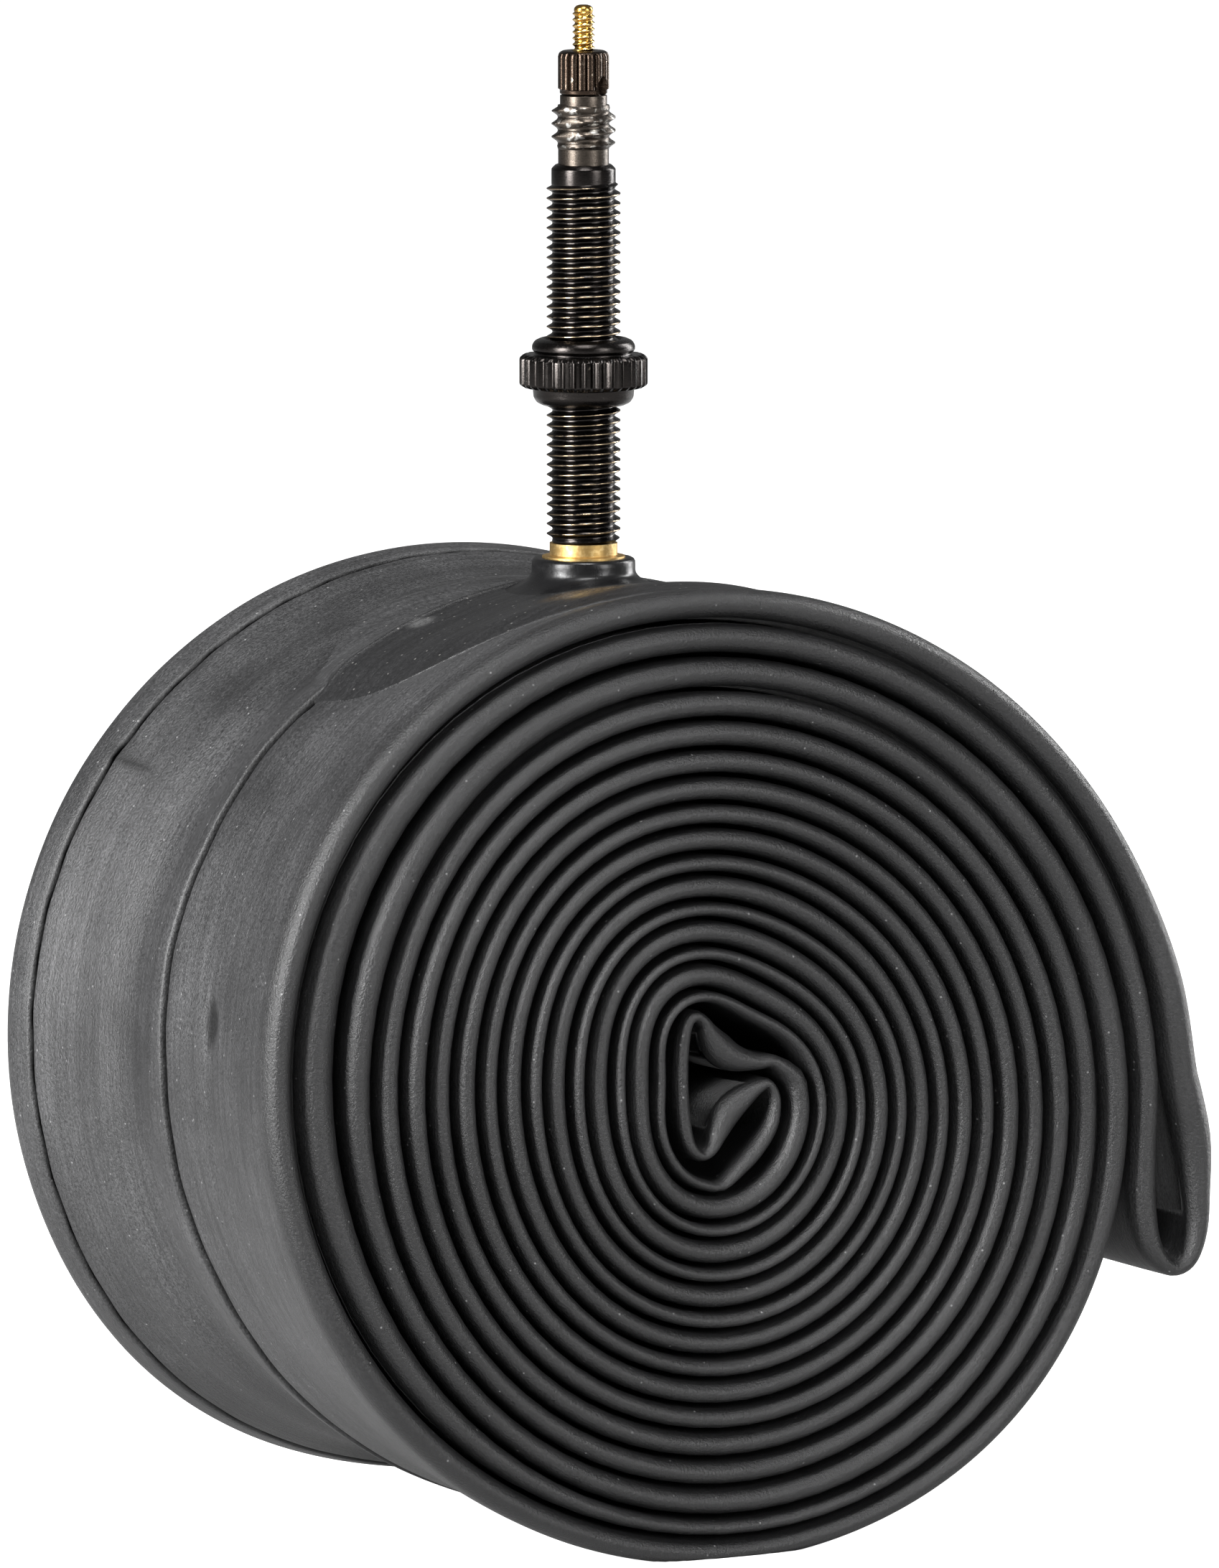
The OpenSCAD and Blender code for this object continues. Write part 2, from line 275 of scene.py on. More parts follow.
def tube_path():
    """The closed tube's middle line: samples of [x, z, thickness] and which are on the last turn."""
    turn_steps = 360 // STEP
    outer = strand(0, 360 * TURNS, 0, -1)
    inner = strand(360 * TURNS - 90, 0, -1, 1)
    points = outer + list(CORE_BEND) + inner + list(END_BEND)
    counts = ([LAST_TURN_SAMPLES] * turn_steps + [INNER_SAMPLES] * (len(outer) - turn_steps)
              + [BEND_SAMPLES] * len(CORE_BEND) + [INNER_SAMPLES] * len(inner)
              + [BEND_SAMPLES] * len(END_BEND))
    path = spline(points, counts)
    last_turn = np.zeros(len(path))
    last_turn[:LAST_TURN_SAMPLES * turn_steps] = 1
    return path, last_turn


def to_part(x, z):
    """From the winding's plane to the part's frame."""
    return ROLL_X + x, ROLL_Z + z - ASKEW * x


# --- The shape of the outer face ----------------------------------------------
def waist_share(y):
    """How far the roll draws in at each place across, from 0 at its edges to 1."""
    channel = 1 + CHANNEL_DEPTH * hill(y, CHANNEL_ACROSS, CHANNEL_WIDTH)
    entry = smooth((y - FRONT) / WAIST_ENTRY)
    return entry * (1 - smooth((y - BACK + WAIST_EXIT_FROM) / WAIST_EXIT)) * channel


def out_of_round(angle, y):
    """How far the loose outer turns stand out or in, beyond the winding's own shape."""
    height, middle, width = RIGHT_SWELLING
    back = sum(h * swelling(angle, m, w) for h, m, w in BACK_SWELLINGS)
    return (height * swelling(angle, middle, width)
            + back * smooth((y - BACK_FROM) / BACK_OVER))


def parting_drift(angle):
    """The mould's parting line wanders a little from side to side."""
    turn = np.radians(angle)
    return 0.25 * np.sin(turn * 5) + 0.13 * np.sin(turn * 13 + 1) + 0.05 * np.sin(turn * 41)


def seam_drift(angle):
    return 0.12 * np.sin(np.radians(angle) * 5) + 0.04 * np.sin(np.radians(angle) * 37)


def parting_offset(angle, y):
    return y - PARTING_LINE - parting_drift(angle)


def seam_offset(angle, y):
    return y - SEAM_LINE - seam_drift(angle)


def near(y, line, reach=2.5):
    """1 close to a line across, fading to 0 at its reach."""
    return 1 - smooth((np.abs(y - line) - 1.0) / (reach - 1.0))


def cross_mark(angle, y):
    """The short line where the mould's halves met across the seam."""
    middle = CROSS_ANGLE - CROSS_LEAN * (y - CROSS_ACROSS)
    ends = smooth((y - CROSS_FRONT) / 2) * smooth((CROSS_BACK - y) / 2)
    return 0.8 * hill(angle, middle, CROSS_WIDTH) * ends


def dent(angle, y):
    """The shallow oval pressed into the face in front of the parting line."""
    breadth = np.where(y > DENT_ACROSS, DENT_BACK, DENT_FRONT)
    distance = np.hypot((angle - DENT_ANGLE) * DENT_MM_PER_DEGREE / DENT_LENGTH,
                        (y - DENT_ACROSS) / breadth)
    return 1 - smooth((distance - 0.35) / 0.65)


def dent_tail(angle, y):
    """The crease that runs down from the dent and dies out."""
    starts, ends = smooth((angle - 177) / 5), 1 - smooth((angle - 183) / 16)
    return hill(y, TAIL_ACROSS, TAIL_WIDTH) * starts * ends


def patch_moat(angle, y):
    """The line pressed round the front half of the patch."""
    beyond = np.hypot((angle - VALVE_ANGLE) / PATCH_ANGLE, (y - PARTING_LINE) / PATCH_FRONT)
    return hill(beyond, MOAT_AT, MOAT_WIDTH) * smooth(PARTING_LINE - y)


def face_relief(angle, y):
    """Height of the small features of the outer face: lines, dents and ripples."""
    parting, seam = parting_offset(angle, y), seam_offset(angle, y)
    step = smooth((parting + 0.15) / 0.3) * (1 - smooth((parting - 0.1) / PARTING_STEP_OVER))
    relief = PARTING_STEP * step - GROOVE_DEPTH * hill(parting, 0, GROOVE)
    stitched = 0.75 + 0.25 * np.sin(angle * RIPPLE_PER_DEGREE)
    relief -= SEAM_DEPTH * stitched * hill(seam, 0, SEAM_GROOVE)
    relief += SEAM_LIP * hill(seam, 0.6, 0.5) + CROSS_RISE * cross_mark(angle, y)
    relief -= DENT_DEPTH * dent(angle, y) + TAIL_DEPTH * dent_tail(angle, y)
    relief -= MOAT_DEPTH * patch_moat(angle, y)
    for height, middle, length, across, width in RIPPLES:
        relief += height * hill(angle, middle, length) * hill(y, across, width)
    return relief


def face_radius(angle, y):
    """Radius of the roll's outer face, drawn in at its waist."""
    share = outer_radius(angle) / outer_radius(180)
    return (outer_radius(angle) - WAIST * waist_share(y) * share
            + out_of_round(angle, y) * share ** 4)


def on_outer_face(angle, y, lift):
    """A point on the roll's outer face, lifted off it, in millimetres."""
    r = face_radius(angle, y) + lift
    x, z = to_part(r * math.cos(math.radians(angle)), r * math.sin(math.radians(angle)))
    return x, y, z


def ground_height(x, y, lift):
    """Height of the outer face, with a lift, straight above a place near the valve."""
    angle = VALVE_ANGLE
    for _ in range(4):
        angle = math.degrees(math.acos((x - ROLL_X) / (face_radius(angle, y) + lift)))
    return on_outer_face(angle, y, lift)[2]


# --- Meshes -------------------------------------------------------------------
def grid_faces(rows, columns, wrap_rows=False, wrap_columns=True):
    """Quads of a grid of vertices, numbered row by row."""
    faces = []
    for i in range(rows if wrap_rows else rows - 1):
        for j in range(columns if wrap_columns else columns - 1):
            below, above = i * columns, (i + 1) % rows * columns
            k = (j + 1) % columns
            faces.append((below + j, below + k, above + k, above + j))
    return faces


def make_piece(name, shells, body, replaced, sharp_angle=None):
    """One object from closed shells of (vertices in millimetres, faces)."""
    vertices, faces = [], []
    for shell_vertices, shell_faces in shells:
        start = len(vertices)
        vertices.extend((np.asarray(shell_vertices, float) * MM).tolist())
        faces.extend([tuple(v + start for v in face) for face in shell_faces])
    mesh = bpy.data.meshes.new(name)
    mesh.from_pydata(vertices, [], faces)
    bm = bmesh.new()
    bm.from_mesh(mesh)
    bmesh.ops.remove_doubles(bm, verts=bm.verts, dist=0.0005 * MM)
    bmesh.ops.dissolve_degenerate(bm, dist=0.0005 * MM, edges=bm.edges)
    open_edges = [edge for edge in bm.edges if edge.is_boundary]
    if open_edges:
        bmesh.ops.holes_fill(bm, edges=open_edges, sides=0)
    bmesh.ops.recalc_face_normals(bm, faces=bm.faces)
    bm.to_mesh(mesh)
    bm.free()
    piece = bpy.data.objects.new(name, mesh)
    bpy.context.scene.collection.objects.link(piece)
    mesh.shade_smooth()
    if sharp_angle:
        mesh.set_sharp_from_angle(angle=math.radians(sharp_angle))
    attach(piece, body)
    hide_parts(replaced)
    return piece


def ring(radius, height, sides):
    """A row of points round the valve's axis."""
    return [(radius * math.cos(a), radius * math.sin(a), height)
            for a in np.arange(sides) * TAU / sides]


def turned_shell(profile, sides=96, closed=False):
    """A lathe shape round the valve's axis from [radius, height] points."""
    vertices = [v for r, z in profile for v in ring(r, z, sides)]
    return vertices, grid_faces(len(profile), sides, wrap_rows=closed)


def rounded(profile, radius, closed=False):
    """The same outline with each corner cut back to a small round of four points."""
    points = [np.array(p, float) for p in profile]
    out = [] if closed else [points[0]]
    span = range(len(points)) if closed else range(1, len(points) - 1)
    for i in span:
        a, b, c = points[i - 1], points[i], points[(i + 1) % len(points)]
        cut = min(radius, 0.45 * np.linalg.norm(b - a), 0.45 * np.linalg.norm(c - b))
        start = b + (a - b) / np.linalg.norm(a - b) * cut
        end = b + (c - b) / np.linalg.norm(c - b) * cut
        out += [(1 - t) ** 2 * start + 2 * t * (1 - t) * b + t * t * end
                for t in (0, 0.33, 0.67, 1)]
    return out if closed else out + [points[-1]]


def screw_shell(root, crest, pitch, low, high, sides=72, runout=0.6):
    """A right-handed thread whose rows climb round the rod, so each crest is one clean line."""
    per_turn = len(THREAD_SHAPE)
    turns = int((high - low) / pitch) + 5
    rows = [(k - 2 + share, rise) for k in range(turns) for share, rise in THREAD_SHAPE]
    vertices = []
    for place, rise in rows:
        for j in range(sides):
            z = low + (place + j / sides) * pitch
            fade = smooth((z - low) / pitch / runout) * smooth((high - z) / pitch / runout)
            r = root + (crest - root) * rise * float(fade)
            a = j * TAU / sides
            vertices.append((r * math.cos(a), r * math.sin(a), min(max(z, low), high)))
    faces = []
    for i in range(len(rows) - 1):
        for j in range(sides):
            v = i * sides + j
            if j < sides - 1:
                faces.append((v, v + 1, v + sides + 1, v + sides))
            elif i + 1 + per_turn < len(rows):
                faces.append((v, (i + per_turn) * sides, (i + 1 + per_turn) * sides, v + sides))
    return vertices, faces


# --- The rolled tube ----------------------------------------------------------
def section_places():
    """Places across the outer side: dense at the parting line, at the dent and at the seam."""
    plain = list(np.arange(FRONT + 1.5, BACK - 1, 1.0))
    near_parting = list(PARTING_LINE + np.arange(-0.49, 0.5, 0.07))
    near_seam = list(SEAM_LINE + np.arange(-0.36, 0.4, 0.06))
    near_dent = list(DENT_ACROSS + np.arange(-2.7, 1.5, 0.3))
    places = [y for y in plain if abs(y - PARTING_LINE) > 0.6 and abs(y - SEAM_LINE) > 0.5
              and not -3 < y - DENT_ACROSS < 1.6]
    return np.array(sorted(places + near_dent + near_parting + near_seam))


def strand_section(front, back, half, places):
    """A cut through the pressed strand, as [across, out], with a round fold at each edge."""
    fold = np.radians(np.linspace(-90, 90, FOLD_POINTS))
    depth = FOLD_DEPTH * half + FOLD_EXTRA
    inside = np.clip(places, front + depth + FOLD_CLEARANCE, back - depth - FOLD_CLEARANCE)
    section = [(front + depth * (1 - math.cos(f)), half * math.sin(f)) for f in fold]
    section += [(y, half) for y in inside]
    section += [(back - depth * (1 - math.cos(f)), half * math.sin(f)) for f in fold[::-1]]
    section += [(y, -half) for y in np.linspace(BACK - 2, FRONT + 2, UNDERSIDE_POINTS)]
    return np.array(section).T


def edge_wander(along, long_wave, short_wave, seed):
    """The folds don't lie quite level with each other."""
    return 0.10 * wander(along, long_wave, seed) + 0.05 * wander(along, short_wave, seed + 1)


def section_in_place(middle, out, section, on_last_turn):
    """A section set on the path, drawn in at the waist and given the face's relief."""
    y, lift = section
    x, z = middle[0] + out[0] * lift, middle[1] + out[1] * lift
    radius = np.hypot(x, z)
    angle = np.degrees(np.arctan2(z, x)) % 360
    outside = on_last_turn * (lift > 0.99 * lift.max())
    y = y + outside * (parting_drift(angle) * near(y, PARTING_LINE)
                       + seam_drift(angle) * near(y, SEAM_LINE))
    share = radius / outer_radius(180)
    drawn = radius - WAIST * waist_share(y) * share + out_of_round(angle, y) * share ** 4
    drawn = drawn + outside * face_relief(angle, y)
    x, z = to_part(x * drawn / radius, z * drawn / radius)
    return np.stack([x, y, np.maximum(z, 0)], axis=1)


def mark_grooves(piece):
    """Stores on each vertex how deep in one of the outer face's lines or in the dent it lies, from 0
    to 1, as a mask of painted shade.
    """
    mesh = piece.data
    places = np.empty(len(mesh.vertices) * 3)
    mesh.vertices.foreach_get("co", places)
    x, y, z = places.reshape(-1, 3).T / MM
    x, z = x - ROLL_X, z - ROLL_Z + ASKEW * (x - ROLL_X)
    angle = np.degrees(np.arctan2(z, x)) % 360
    on_face = np.hypot(x, z) > FACE_FROM
    # Painted shade for the bottoms of the parting line, the seam and the cross mark, and for the
    # dent.
    painted_shade = (PARTING_SHADE * hill(parting_offset(angle, y), 0, GROOVE)
            + SEAM_SHADE * hill(seam_offset(angle, y), 0, SEAM_GROOVE)
            + CROSS_SHADE * cross_mark(angle, y) + DENT_SHADE * dent(angle, y))
    layer = mesh.attributes.new("groove", "FLOAT", "POINT")
    layer.data.foreach_set("value", np.clip(painted_shade, 0, 1) * on_face)


def build_roll():
    path, last_turn = tube_path()
    before, after = np.roll(path, 1, axis=0), np.roll(path, -1, axis=0)
    travel = after[:, :2] - before[:, :2]
    travel /= np.linalg.norm(travel, axis=1)[:, None]
    out = np.stack([travel[:, 1], -travel[:, 0]], axis=1)
    along = np.cumsum(np.linalg.norm(path[:, :2] - before[:, :2], axis=1))
    level = np.hypot(path[:, 0], path[:, 1]) / outer_radius(180)
    set_back = CORE_SET_BACK * (1 - smooth((level - 0.05) / 0.2))
    front = FRONT + EDGE_INSET + edge_wander(along, 55, 17, 3) + set_back
    back = BACK - EDGE_INSET + edge_wander(along, 60, 19, 5)
    places = section_places()
    rows = [section_in_place(path[i, :2], out[i],
                             strand_section(front[i], back[i], path[i, 2] / 2, places),
                             last_turn[i])
            for i in range(len(path))]
    faces = grid_faces(len(rows), len(rows[0]), wrap_rows=True)
    piece = make_piece("rolled_tube", [(np.concatenate(rows), faces)], "tube",
                       "inner_tube")
    mark_grooves(piece)
    return piece


# --- The patch and the moulded base -------------------------------------------
def patch_swell(distance):
    """How much the patch swells up towards the valve."""
    return SWELL_RISE * float(hill(distance, 0, SWELL_REACH))


def patch_height(round_share, across, breadth):
    """Height of the patch over the face: a thin edge, a flatter back and a moulded line."""
    out = math.hypot(round_share, across / (PATCH_FRONT if across < 0 else PATCH_BACK))
    thinning = smooth((out - PATCH_THINS_FROM) / (1 - PATCH_THINS_FROM))
    height = PATCH_RISE * float(1 - thinning) - PATCH_TUCK * min(1, out) ** 8
    if across > 0:
        height *= float(1 - BEHIND_FLATTER * smooth(across / BEHIND_OVER))
    height += BEAD_RISE * float(hill(across, 0, BEAD_WIDTH)) * breadth
    from_valve = math.hypot(PATCH_ANGLE * round_share * PATCH_MM_PER_DEGREE,
                            PARTING_LINE + across)
    return height + patch_swell(from_valve)


def build_patch():
    """The vulcanised patch: a long oval that thins out to nothing at its edge."""
    across = [-PATCH_FRONT * (1 - k / PATCH_COLUMNS) for k in range(PATCH_COLUMNS - 1)]
    across += [-0.5, -0.3, -0.2, -0.1, 0, 0.1, 0.2, 0.3, 0.5]
    across += [PATCH_BACK * k / PATCH_COLUMNS for k in range(2, PATCH_COLUMNS + 1)]
    columns = len(across)
    top = []
    for i in range(PATCH_ROWS + 1):
        round_share = -1 + 2 * i / PATCH_ROWS
        breadth = math.sqrt(max(0, 1 - round_share ** 2))
        angle = VALVE_ANGLE + PATCH_ANGLE * round_share
        line = PARTING_LINE + parting_drift(angle) * 0.5
        for y in (place * breadth for place in across):
            height = patch_height(round_share, y, breadth) + 0.04
            top.append(on_outer_face(angle, line + y, height))
    bottom = [(x, y, z - PATCH_SKIN) for x, y, z in top]
    count = len(top)
    faces = grid_faces(PATCH_ROWS + 1, columns, wrap_columns=False)
    faces += [tuple(count + v for v in reversed(face)) for face in faces]
    for i in range(PATCH_ROWS):
        for edge in (i * columns, i * columns + columns - 1):
            faces.append((edge, edge + columns, count + edge + columns, count + edge))
    return make_piece("valve_patch_skin", [(top + bottom, faces)], "tube",
                      "valve_patch")


def flare_row(share):
    """One ring of the base's flare, from 0 at the post to 1 where it meets the patch."""
    post_low = BASE_TOP - POST_HEIGHT
    fall = 1 - (1 - share) ** 2.6
    radius = POST_R + (BASE_FLARE - POST_EDGE_R) * share ** 1.7
    lift = PATCH_RISE + patch_swell(radius) - 0.1 * share ** 6
    return [(x, y, post_low + (ground_height(x, y, lift) - post_low) * fall)
            for x, y, _ in ring(radius, 0, BASE_SIDES)]


def build_base():
    """The moulded rubber foot: a short round post that flares out over the patch."""
    post = ((3.15, 0), (3.9, 0), (4.08, -0.1), (POST_EDGE_R, -0.28), (POST_R, -0.6),
            (POST_R, -POST_HEIGHT))
    rows = [ring(r, BASE_TOP + z, BASE_SIDES) for r, z in post]
    rows += [flare_row(k / FLARE_ROWS) for k in range(1, FLARE_ROWS + 1)]
    rows.append([(x * 0.97, y * 0.97, z - 0.5) for x, y, z in rows[-1]])
    rows += [ring(BASE_BORE, BASE_TOP - depth, BASE_SIDES) for depth in (2.6, 0.35)]
    vertices = [v for row in rows for v in row]
    faces = grid_faces(len(rows), BASE_SIDES, wrap_rows=True)
    return make_piece("moulded_base", [(vertices, faces)], "tube", "valve_base")


# --- The valve ----------------------------------------------------------------
def build_stem():
    thread_top = STEM_END - STEM_TIP
    tip_low = thread_top - 0.6
    thread = screw_shell(THREAD_ROOT_R, THREAD_R, THREAD_PITCH, STEM_LOW, thread_top + 0.25)
    tip = turned_shell(rounded([[AXIS_R, tip_low], [TIP_R - 0.1, tip_low],
                                [TIP_R, thread_top], [TIP_R, STEM_END - TIP_CHAMFER],
                                [TIP_R - TIP_CHAMFER, STEM_END], [AXIS_R, STEM_END]], 0.1))
    return make_piece("threaded_stem", [thread, tip], "tube", "valve_stem", 50)


def build_rim_nut():
    """Tapered nose, straight-knurled ring and top collar, with a clear bore."""
    sides = RING_TEETH * len(TOOTH)
    mouth = NUT_BORE + 0.25
    outline = [[mouth, 0], [3.35, 0], [3.8, 0.22], [4.05, 0.62], [4.12, 1.4], [4.8, 1.4],
               [RING_R, 1.68], [RING_R, 3.8], [4.85, 4.1], [3.98, 4.1], [3.95, 4.3],
               [4.17, 4.45], [4.17, 4.85], [3.95, 5.2], [3.5, 5.4], [mouth, 5.4],
               [NUT_BORE, 5.15], [NUT_BORE, 0.25]]
    outline = rounded(outline, 0.14, closed=True)
    vertices = []
    for r, z in outline:
        knurl = float(smooth((r - 4.5) / 0.4))
        for j in range(sides):
            a = j * TAU / sides
            s = r - TOOTH_DEPTH * knurl * (1 - TOOTH[j % len(TOOTH)])
            vertices.append((s * math.cos(a), s * math.sin(a), NUT_LOW + z))
    shell = vertices, grid_faces(len(outline), sides, wrap_rows=True)
    return make_piece("knurled_rim_nut", [shell], "rim_nut", "rim_nut", 40)


def cut_flats(vertices):
    """Presses a thread's two sides flat, for a wrench."""
    a = math.radians(FLAT_ANGLE)
    cut = []
    for x, y, z in vertices:
        out = x * math.cos(a) + y * math.sin(a)
        excess = max(out - FLAT_DISTANCE, 0) + min(out + FLAT_DISTANCE, 0)
        cut.append((x - excess * math.cos(a), y - excess * math.sin(a), z))
    return cut


def build_core():
    """The valve core: collar, cap thread with two wrench flats, and a bored neck."""
    shoulder = CORE_END - CORE_NECK
    bore, core_low = PIN_R + PIN_GAP, STEM_END - 3
    outline = rounded([[bore, core_low], [CORE_R - 0.2, core_low],
                       [CORE_R, STEM_END - 0.4], [CORE_R, shoulder - 0.2],
                       [CORE_R - 0.15, shoulder], [CORE_NECK_R, shoulder + 0.05],
                       [CORE_NECK_R, CORE_END], [bore, CORE_END]], 0.08, closed=True)
    body = turned_shell(outline, closed=True)
    vertices, faces = screw_shell(CAP_ROOT_R, CAP_THREAD_R, CAP_PITCH, STEM_END + 1.25,
                                  shoulder + 0.1, runout=0.5)
    return make_piece("valve_core", [body, (cut_flats(vertices), faces)], "tube",
                      "core_body", 50)


def build_lock_nut():
    """The small ribbed nut on the pin, with a round shoulder and an arched notch."""
    sides = LOCK_RIBS * 12
    bore = PIN_R - PIN_GAP
    height = LOCK_HIGH - LOCK_LOW
    outline = rounded([[bore, 0], [1.7, 0], [LOCK_SHOULDER_R, 0.12], [LOCK_SHOULDER_R, 0.42],
                       [LOCK_R, 0.5]], 0.06)
    outline += [[LOCK_R, z] for z in np.arange(0.6, height - 0.5, 0.12)]
    outline += rounded([[LOCK_R, height - 0.5], [1.98, height - 0.18], [1.7, height],
                        [bore + 0.12, height], [bore, height - 0.12]], 0.1)
    vertices = []
    for r, z in outline:
        depth = RIB_DEPTH * float(smooth((r - LOCK_SHOULDER_R - 0.01) / 0.08))
        for j in range(sides):
            a = j * TAU / sides
            rib = abs(math.sin(LOCK_RIBS * a / 2)) ** 0.4
            s = r - depth * (1 - rib)
            off_notch = abs(math.degrees(a) - NOTCH_ANGLE) / NOTCH_HALF_ANGLE
            arch = NOTCH_HEIGHT * math.sqrt(max(0, 1 - off_notch ** 2))
            if r > NOTCH_R and off_notch < 1 and z < arch:
                s = NOTCH_R
            vertices.append((s * math.cos(a), s * math.sin(a), LOCK_LOW + z))
    shell = vertices, grid_faces(len(outline), sides, wrap_rows=True)
    return make_piece("ribbed_lock_nut", [shell], "lock_nut", "lock_nut", 35)


def build_pin():
    low, top = LOCK_LOW - 0.4, PIN_END - CROWN
    thread = screw_shell(PIN_ROOT_R, PIN_R, PIN_PITCH, low, top, sides=48)
    crown = turned_shell([[AXIS_R, top - 0.2], [0.72, top - 0.2], [0.78, top],
                          [0.74, top + 0.2], [0.58, top + 0.36], [0.35, top + 0.44],
                          [AXIS_R, PIN_END]], 48)
    rod = turned_shell([[AXIS_R, PIN_LOW], [PIN_ROD_R, PIN_LOW], [PIN_ROD_R, low + 0.3],
                        [AXIS_R, low + 0.3]], 32)
    return make_piece("threaded_pin", [thread, crown, rod], "pin", "core_pin", 50)


# --- Shader nodes -------------------------------------------------------------
FLOAT, VECTOR = "NodeSocketFloat", "NodeSocketVector"


def connect(tree, value, socket):
    """Links a socket to another one, or sets it to a plain value."""
    if isinstance(value, bpy.types.NodeSocket):
        tree.links.new(value, socket)
    else:
        socket.default_value = value


def add(tree, kind, inputs=None, **settings):
    """A node with its settings and inputs."""
    node = tree.nodes.new(kind)
    for name, value in settings.items():
        setattr(node, name, value)
    for name, value in (inputs or {}).items():
        connect(tree, value, node.inputs[name])
    return node


def maths(tree, operation, first, second=0.0, clamp=False):
    return add(tree, "ShaderNodeMath", {0: first, 1: second}, operation=operation,
               use_clamp=clamp).outputs[0]


def times(tree, first, second):
    return maths(tree, "MULTIPLY", first, second)


def spread(tree, value, low, high, new_low=0.0, new_high=1.0):
    """The value from one range to another, held at its ends."""
    return add(tree, "ShaderNodeMapRange", {"Value": value, "From Min": low, "From Max": high,
                                            "To Min": new_low, "To Max": new_high}).outputs[0]


def scaled(tree, vector, x, y, z):
    return add(tree, "ShaderNodeVectorMath", {0: vector, 1: (x, y, z)},
               operation="MULTIPLY").outputs[0]


def object_mm(tree):
    """Places on the object in millimetres."""
    where = add(tree, "ShaderNodeTexCoord").outputs["Object"]
    return add(tree, "ShaderNodeVectorMath", {0: where, 3: 1 / MM}, operation="SCALE").outputs[0]


def hypotenuse(tree, first, second):
    squares = maths(tree, "ADD", times(tree, first, first), times(tree, second, second))
    return maths(tree, "SQRT", squares)


def blend_colours(tree, mask, first, second):
    node = add(tree, "ShaderNodeMix", data_type="RGBA")
    for value, socket in ((mask, 0), (first, 6), (second, 7)):
        connect(tree, value, node.inputs[socket])
    return node.outputs[2]


# --- Shader groups ------------------------------------------------------------
def new_group(name, inputs, outputs):
    group = bpy.data.node_groups.new(name, "ShaderNodeTree")
    for socket, kind, default in inputs:
        made = group.interface.new_socket(socket, in_out="INPUT", socket_type=kind)
        if default is not None:
            made.default_value = default
    for socket, kind in outputs:
        group.interface.new_socket(socket, in_out="OUTPUT", socket_type=kind)
    return group, group.nodes.new("NodeGroupInput"), group.nodes.new("NodeGroupOutput")


def round_places_group():
    """Places from a centre, the radius round the roll's axis and the place across."""
    group, start, end = new_group("round_places", [("Centre", VECTOR, (0, 0, 0))],
                                  [("Place", VECTOR), ("Radius", FLOAT), ("Across", FLOAT)])
    local = add(group, "ShaderNodeVectorMath",
                {0: object_mm(group), 1: start.outputs["Centre"]}, operation="SUBTRACT")
    x, y, z = add(group, "ShaderNodeSeparateXYZ", {0: local.outputs[0]}).outputs
    connect(group, local.outputs[0], end.inputs["Place"])
    connect(group, hypotenuse(group, x, z), end.inputs["Radius"])
    connect(group, y, end.inputs["Across"])
    return group


def specks_group():
    """Scattered light specks of dust: a mask from 0 to 1."""
    group, start, end = new_group("dust_specks",
                                  [("Vector", VECTOR, None), ("Spacing", FLOAT, 1.0),
                                   ("Size", FLOAT, 0.12), ("Share", FLOAT, 0.3)],
                                  [("Mask", FLOAT)])
    cells = add(group, "ShaderNodeTexVoronoi",
                {"Vector": start.outputs["Vector"],
                 "Scale": maths(group, "DIVIDE", 1.0, start.outputs["Spacing"])})
    close = spread(group, cells.outputs["Distance"], start.outputs["Size"], 0.0)
    chance = add(group, "ShaderNodeSeparateColor", {0: cells.outputs["Color"]}).outputs[0]
    chosen = maths(group, "LESS_THAN", chance, start.outputs["Share"])
    connect(group, times(group, close, chosen), end.inputs["Mask"])
    return group


def mottle_group():
    """Cloudy variation from 0 to 1, stretched by the vector it gets."""
    group, start, end = new_group("mottle",
                                  [("Vector", VECTOR, None), ("Scale", FLOAT, 0.1),
                                   ("Contrast", FLOAT, 1.0)],
                                  [("Value", FLOAT)])
    noise = add(group, "ShaderNodeTexNoise",
                {"Vector": start.outputs["Vector"], "Scale": start.outputs["Scale"],
                 "Detail": 6.0, "Roughness": 0.6})
    centred = maths(group, "SUBTRACT", noise.outputs[0], 0.5)
    stretched = times(group, centred, start.outputs["Contrast"])
    connect(group, maths(group, "ADD", stretched, 0.5, clamp=True), end.inputs["Value"])
    return group


def crest_wear_group():
    """Bare metal on the crests: 1 past a radius, broken up by noise."""
    group, start, end = new_group("crest_wear",
                                  [("Vector", VECTOR, None), ("Radius", FLOAT, 0.0),
                                   ("From", FLOAT, 2.9), ("To", FLOAT, 3.0),
                                   ("Grain", FLOAT, 3.0), ("Cover", FLOAT, 0.5)],
                                  [("Mask", FLOAT)])
    high = spread(group, start.outputs["Radius"], start.outputs["From"], start.outputs["To"])
    noise = add(group, "ShaderNodeTexNoise", {"Vector": start.outputs["Vector"],
                                              "Scale": start.outputs["Grain"], "Detail": 4.0})
    inverse = maths(group, "SUBTRACT", 1.0, start.outputs["Cover"])
    broken = spread(group, noise.outputs[0], inverse, maths(group, "ADD", inverse, 0.15))
    connect(group, times(group, high, broken), end.inputs["Mask"])
    return group


GROUPS = {"round_places": round_places_group(), "specks": specks_group(),
          "mottle": mottle_group(), "crest_wear": crest_wear_group()}


def use(tree, group, **inputs):
    """A node of one of the shared groups."""
    named = {name.capitalize(): value for name, value in inputs.items()}
    return add(tree, "ShaderNodeGroup", named, node_tree=GROUPS[group])


def mottle(tree, vector, scale, contrast):
    return use(tree, "mottle", vector=vector, scale=scale, contrast=contrast).outputs[0]


def specks(tree, vector, spacing, size, share):
    return use(tree, "specks", vector=vector, spacing=spacing, size=size, share=share).outputs[0]


